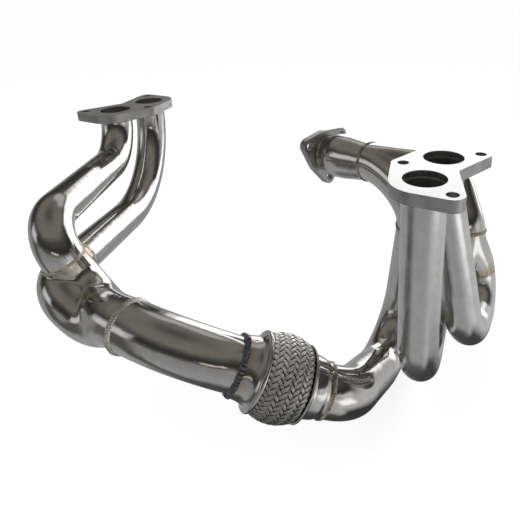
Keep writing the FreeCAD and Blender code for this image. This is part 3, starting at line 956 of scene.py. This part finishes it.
# ---------------------------------------------------------------- flex coupling
weld(
    "flex_inlet_weld", "left_bank", on_flex(1.4), flex_axis, PIPE_RADIUS - 0.2, HEAVY_BEAD, "heavy_weld",
    width=7.6, height=3.2, pitch=3.4, rough=0.30, seed=11,
)
INLET_CUFF = [
    (PIPE_RADIUS + 2.3, CUFF_START - 0.6),
    (PIPE_RADIUS + 2.9, CUFF_START + 2),
    (PIPE_RADIUS + 4.0, CUFF_START + 8),
    (PIPE_RADIUS + 5.6, CUFF_START + 12),
    (PIPE_RADIUS + 8.6, RING_START),
]
OUTLET_CUFF = [
    (33.0, RING_END),
    (31.4, RING_END + 1.2),
    (PIPE_RADIUS + 4.6, RING_END + 3),
    (PIPE_RADIUS + 4.0, RING_END + 8),
    (PIPE_RADIUS + 3.1, RING_END + 14),
    (PIPE_RADIUS + 1.6, RING_END + 18.5),
    (PIPE_RADIUS + 1.5, CUFF_END),
]


def on_coupling(name, loop, material, *segments):
    """A ring turned about the coupling's axis."""
    return turned(name, loop, flex_start, flex_axis, [material], *segments)


CUFFS = {
    "flex_inlet_cuff": (INLET_CUFF, "left_bank", CUFF_START),
    "flex_outlet_cuff": (OUTLET_CUFF, "right_bank", CUFF_END),
}
for node, (stations, body, weld_height) in CUFFS.items():
    cuff = on_coupling(node + "_shell", sheet_loop(stations), CUFF)
    warmed(cuff, flex_start, flex_axis, [weld_height])
    dress(cuff, body, node)
RING_BORE = 31.5
RINGS = {
    "flex_inlet_ring": (rounded_ring_loop(RING_BORE, 37.0, RING_START, BRAID_START, 2.2), "left_bank"),
    "flex_outlet_ring": (rounded_ring_loop(RING_BORE, 36.0, BRAID_END + 1.2, RING_END, 1.3), "right_bank"),
}
for node, (loop, body) in RINGS.items():
    band = on_coupling(node + "_band", loop, CUFF)
    warmed(band, flex_start, flex_axis, [CUFF_START, CUFF_END])
    dress(band, body, node)
weld(
    "flex_outlet_weld", "right_bank", on_flex(CUFF_END + 1.2), flex_axis,
    width=5.4, height=2.0, rough=0.2, seed=13,
)

LINER_BORE, LINER_OUTSIDE = 22.6, 23.8
LINERS = {
    "flex_liner_inlet": (0.2, 28, "left_bank"),
    "flex_liner_middle": (33, 39, "flex_middle"),
    "flex_liner_slider": (44, 50, "flex_slider"),
    "flex_liner_outlet": (57, 98, "right_bank"),
}
for node, (start, end, body) in LINERS.items():
    loop = rounded_ring_loop(LINER_BORE, LINER_OUTSIDE, start, end, corner=0.5, steps=4)
    dress(on_coupling(node + "_hoop", loop, PAINTED_SHADE_INNER), body, node)

# The coupling has three joints in a row: each stretch of braid and bellows spans one.
STRETCHES = [
    ("inlet", BRAID_START, 38.0, "left_bank", "flex_middle"),
    ("centre", 38.0, 52.0, "flex_middle", "flex_slider"),
    ("outlet", 52.0, BRAID_END, "flex_slider", "right_bank"),
]
BELLOWS_ROOT, BELLOWS_CREST, BELLOWS_WALL, BELLOWS_WAVES = 27.0, 32.5, 0.6, 8


def bellows_radius(height):
    """The bellows' outside radius at a height along the coupling."""
    turn = 2 * math.pi * BELLOWS_WAVES * (height - BRAID_START) / (BRAID_END - BRAID_START)
    return (BELLOWS_ROOT + BELLOWS_CREST) / 2 - (BELLOWS_CREST - BELLOWS_ROOT) / 2 * math.cos(turn)


def bellows_stretch(name, start, end):
    """One stretch of the convoluted bellows."""
    steps = 64
    heights = [start + (end - start) * index / steps for index in range(steps + 1)]
    loop = [(bellows_radius(height), height) for height in heights]
    loop += [(bellows_radius(height) - BELLOWS_WALL, height) for height in reversed(heights)]
    return on_coupling(name, loop, PAINTED_SHADE_INNER, 120)


BRAID_STRANDS = 42
BRAID_ANGLE = math.radians(47)
STRAND_WIRES = 5
STRAND_HALF_WIDTH = 1.52
WIRE_HEIGHT = 0.22
WEAVE_LIFT = 0.58
BRAID_END_RADIUS = 34.4
BRAID_BULGE = 5.3
BRAID_MEAN_RADIUS = 38.5


def braid_radius(height):
    """The braid's mean radius: a barrel between its two rings."""
    share = (height - BRAID_START) / (BRAID_END - BRAID_START)
    return BRAID_END_RADIUS + BRAID_BULGE * math.sin(math.pi * min(1.0, max(0.0, share))) ** 0.8


def braid_twist(height):
    """How far a strand has wound round the barrel by a height."""
    middle = (BRAID_START + BRAID_END) / 2
    return math.tan(BRAID_ANGLE) * (height - middle) / BRAID_MEAN_RADIUS


def strand(index, hand, start, end, samples):
    """One flat bundle of wires, woven over two and under two of the other hand."""
    across, up = axis_frame(flex_axis)
    columns = STRAND_WIRES * 3
    top = [-1 + 2 * column / columns for column in range(columns + 1)]
    crown_drop, strand_depth = 0.25, 0.65
    rows, underlap_shade = [], []
    for row in range(samples + 1):
        height = start + (end - start) * row / samples
        crossing = BRAID_STRANDS * braid_twist(height) / math.pi
        weave = math.cos(math.pi / 2 * (crossing - 0.5)) * hand
        weave = math.copysign(abs(weave) ** 0.6, weave)
        radius = braid_radius(height) + WEAVE_LIFT * weave
        angle = 2 * math.pi * index / BRAID_STRANDS + hand * braid_twist(height)
        ring = []
        for number, share in enumerate(top + [1.0, -1.0]):
            on_top = number < len(top)
            sideways = share * STRAND_HALF_WIDTH
            bearing = angle + sideways * math.cos(BRAID_ANGLE) / radius
            shift = -hand * sideways * math.sin(BRAID_ANGLE)
            spoke = across * math.cos(bearing) + up * math.sin(bearing)
            place_height = min(max(height + shift, BRAID_START), BRAID_END)
            wire = abs(math.sin(math.pi * STRAND_WIRES * (share + 1) / 2))
            rise = WIRE_HEIGHT * wire - crown_drop * share * share if on_top else -strand_depth
            local = radius + rise + braid_radius(place_height) - braid_radius(height)
            ring.append(flex_start + flex_axis * place_height + spoke * local)
            # This lift only paints shade on the wire: it follows the weave on top and is zero on a strand's
            # sides.
            underlap_shade.append(0.5 + 0.5 * weave if on_top else 0.0)
        rows.append(ring)
    return rows, underlap_shade


def braid_stretch(name, start, end):
    """One stretch of the woven braid: every strand of both hands, closed at its ends."""
    vertices, faces, underlap_shade = [], [], []
    samples = 30
    for hand in (1, -1):
        for index in range(BRAID_STRANDS):
            rows, strand_underlap_shade = strand(index, hand, start, end, samples)
            offset = len(vertices)
            width = len(rows[0])
            for ring in rows:
                vertices += ring
            underlap_shade += strand_underlap_shade
            faces += grid_faces(len(rows), width, False, True, offset)
            last = offset + (len(rows) - 1) * width
            faces.append(tuple(offset + column for column in range(width)))
            faces.append(tuple(last + column for column in reversed(range(width))))
    built = make_object(name, vertices, faces, [WIRE])
    paint(built, "lift", underlap_shade)
    return outward(built)


for label, start, end, first_body, second_body in STRETCHES:
    for piece, node, slot in (
        (braid_stretch(f"flex_braid_{label}", start, end), "flex_braid", "braid_wire"),
        (bellows_stretch(f"flex_bellows_{label}", start, end), "flex_bellows", "flex_inner"),
    ):
        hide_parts(node)
        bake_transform(piece)


# ---------------------------------------------------------------- floor, light and camera
CAMERA_PLACE = point(354.193, -407.115, 160.452)
CAMERA_YAW = math.radians(27.447)
CAMERA_PITCH = math.radians(19.049)
CAMERA_ROLL = math.radians(1.109)
LENS, SENSOR_WIDTH = 33.038, 36.0
LENS_SHIFT = (-0.15694, -0.20923)
FLOOR_GLOW = 0.82


def panel(nodes, azimuth, elevation, centre, half_size, softness):
    """1 inside a soft-edged rectangle of the surroundings, 0 outside; angles in degrees."""
    shares = []
    for angle, middle, half in zip((azimuth, elevation), centre, half_size):
        away = nodes.maths("ABSOLUTE", nodes.maths("SUBTRACT", angle, middle))
        shares.append(nodes.maths("ADD", nodes.scaled(away, -1 / softness, half / softness), 0.5, clamp=True))
    return nodes.maths("MULTIPLY", *shares)


def surroundings(nodes, direction):
    """What polished metal sees: a dim brown room, a window behind the object, grey ground below.

    Azimuth runs from the direction the camera looks in (0) to its right (90); elevation is above
    the horizon.
    """
    turned_way = nodes.add(
        "ShaderNodeVectorRotate", {"Vector": direction, "Angle": -CAMERA_YAW}, rotation_type="Z_AXIS"
    ).outputs[0]
    parts = nodes.add("ShaderNodeSeparateXYZ", {0: turned_way}).outputs
    warp = nodes.scaled(nodes.noise(direction, 2.2, 3.0), 10.0, -5.0)
    degrees = 180 / math.pi
    azimuth = nodes.scaled(nodes.maths("ARCTAN2", parts[0], parts[1]), degrees)
    azimuth = nodes.maths("ADD", azimuth, warp)
    elevation = nodes.scaled(nodes.maths("ARCSINE", parts[2]), degrees)
    elevation = nodes.maths("ADD", elevation, nodes.scaled(warp, 0.4))
    level = nodes.scaled(elevation, 1 / 180, 0.5)
    colour = nodes.ramp(level, ROOM_STOPS)
    for centre, half_size, softness, tone in ROOM_PANELS:
        share = panel(nodes, azimuth, elevation, centre, half_size, softness)
        colour = nodes.mix(share, colour, (*tone, 1))
    return colour


def at_elevation(degrees, tone):
    """A stop of the room's ramp, which runs from straight down (0) to straight up (1)."""
    return 0.5 + degrees / 180, tone


ROOM_STOPS = [
    at_elevation(-88, (0.05, 0.05, 0.05)),
    at_elevation(-64, (0.10, 0.10, 0.10)),
    at_elevation(-50, (0.42, 0.42, 0.43)),
    at_elevation(-14, (0.34, 0.34, 0.345)),
    at_elevation(1, (0.30, 0.30, 0.30)),
    at_elevation(7, (0.10, 0.10, 0.095)),
    at_elevation(18, (0.03, 0.03, 0.028)),
    at_elevation(29, (0.08, 0.075, 0.065)),
    at_elevation(44, (0.225, 0.208, 0.178)),
    at_elevation(64, (0.205, 0.188, 0.164)),
    at_elevation(84, (0.10, 0.095, 0.085)),
]
# Each panel: (azimuth, elevation) of its middle, half its width and height, edge softness, colour.
ROOM_PANELS = [
    ((95, -28), (55, 30), 24, (0.62, 0.62, 0.62)),
    ((72, -62), (60, 20), 16, (0.05, 0.05, 0.05)),
    ((-112, -15), (10, 50), 10, (0.12, 0.118, 0.11)),
    ((-108, 14), (14, 9), 7, (0.75, 0.75, 0.75)),
    ((112, 3), (14, 6), 6, (0.75, 0.75, 0.75)),
    ((122, -15), (13, 9), 8, (1.45, 1.45, 1.45)),
    ((166, 11), (12, 1.5), 2, (1.3, 1.15, 0.98)),
    ((27, 9), (33, 20), 7, (1.75, 1.75, 1.75)),
    ((8, 45), (28, 9), 9, (0.55, 0.54, 0.53)),
]


def studio_world():
    """White to the camera and the floor; to the metal, the room around the object."""
    world = bpy.data.worlds.new("studio")
    bpy.context.scene.world = world
    world.use_nodes = True
    nodes = Nodes(world.node_tree)
    direction = nodes.add("ShaderNodeTexCoord").outputs["Generated"]
    seen = nodes.add("ShaderNodeBackground", {"Color": surroundings(nodes, direction)}).outputs[0]
    plain = nodes.add("ShaderNodeBackground", {"Color": (1, 1, 1, 1)}).outputs[0]
    mirror = nodes.add("ShaderNodeLightPath").outputs["Is Glossy Ray"]
    both = nodes.add("ShaderNodeMixShader", {0: mirror, 1: plain, 2: seen}).outputs[0]
    nodes.add("ShaderNodeOutputWorld", {"Surface": both})


def floor():
    """A plain pale sheet under the object; polished metal sees it as the room's ground."""
    material, nodes = new_material("floor_sheet")
    grain = nodes.noise(nodes.position(), 3.0, 2.0)
    tone = nodes.ramp(grain, [(0.0, (0.93, 0.93, 0.93)), (1.0, (0.96, 0.96, 0.96))])
    diffuse = nodes.add("ShaderNodeBsdfDiffuse", {"Color": tone}).outputs[0]
    glow = nodes.add("ShaderNodeEmission", {"Color": (1, 1, 1, 1), "Strength": 1.0}).outputs[0]
    sheet = nodes.add("ShaderNodeMixShader", {0: FLOOR_GLOW, 1: diffuse, 2: glow}).outputs[0]
    incoming = nodes.add("ShaderNodeNewGeometry").outputs["Incoming"]
    reversed_inputs = {0: incoming, 1: (-1, -1, -1)}
    direction = nodes.add("ShaderNodeVectorMath", reversed_inputs, operation="MULTIPLY").outputs[0]
    ground = nodes.add("ShaderNodeEmission", {"Color": surroundings(nodes, direction)}).outputs[0]
    mirror = nodes.add("ShaderNodeLightPath").outputs["Is Glossy Ray"]
    surface = nodes.add("ShaderNodeMixShader", {0: mirror, 1: sheet, 2: ground}).outputs[0]
    nodes.add("ShaderNodeOutputMaterial", {"Surface": surface})
    reach = 20000
    clearance = 0.5
    level = min(corner[2] for corner in cad_box) / MM - clearance
    signs = ((-1, -1), (1, -1), (1, 1), (-1, 1))
    corners = [point(x * reach, y * reach, level) for x, y in signs]
    sheet_object = make_object("floor", corners, [(0, 1, 2, 3)], [material], smooth=False)


def soft_light(name, place, target, size, power):
    """A square soft box aimed at a point."""
    data = bpy.data.lights.new(name, "AREA")
    data.shape = "SQUARE"
    data.size = size * MM
    data.energy = power
    lamp = bpy.data.objects.new(name, data)
    lamp.location = place * MM
    lamp.rotation_euler = (target - place).to_track_quat("-Z", "Y").to_euler()
    lamp.visible_glossy = False
    bpy.context.scene.collection.objects.link(lamp)


def camera():
    """The view from ahead of the right bank, with a shifted lens."""
    data = bpy.data.cameras.new("view")
    data.sensor_width = SENSOR_WIDTH
    data.lens = LENS
    data.shift_x, data.shift_y = LENS_SHIFT
    data.clip_start = 0.01
    data.clip_end = 100
    eye = bpy.data.objects.new("view", data)
    turn = Matrix.Rotation(CAMERA_YAW, 4, "Z") @ Matrix.Rotation(math.pi / 2 - CAMERA_PITCH, 4, "X")
    eye.matrix_world = Matrix.Translation(CAMERA_PLACE * MM) @ turn @ Matrix.Rotation(-CAMERA_ROLL, 4, "Z")
    bpy.context.scene.collection.objects.link(eye)
    bpy.context.scene.camera = eye


studio_world()
floor()
middle = point(0, -20, -140)
soft_light("key_light", point(-300, -700, 1300), middle, 900, 14)
soft_light("fill_light", point(1100, -300, 700), middle, 800, 7)
camera()
bpy.context.scene.view_settings.view_transform = "Standard"
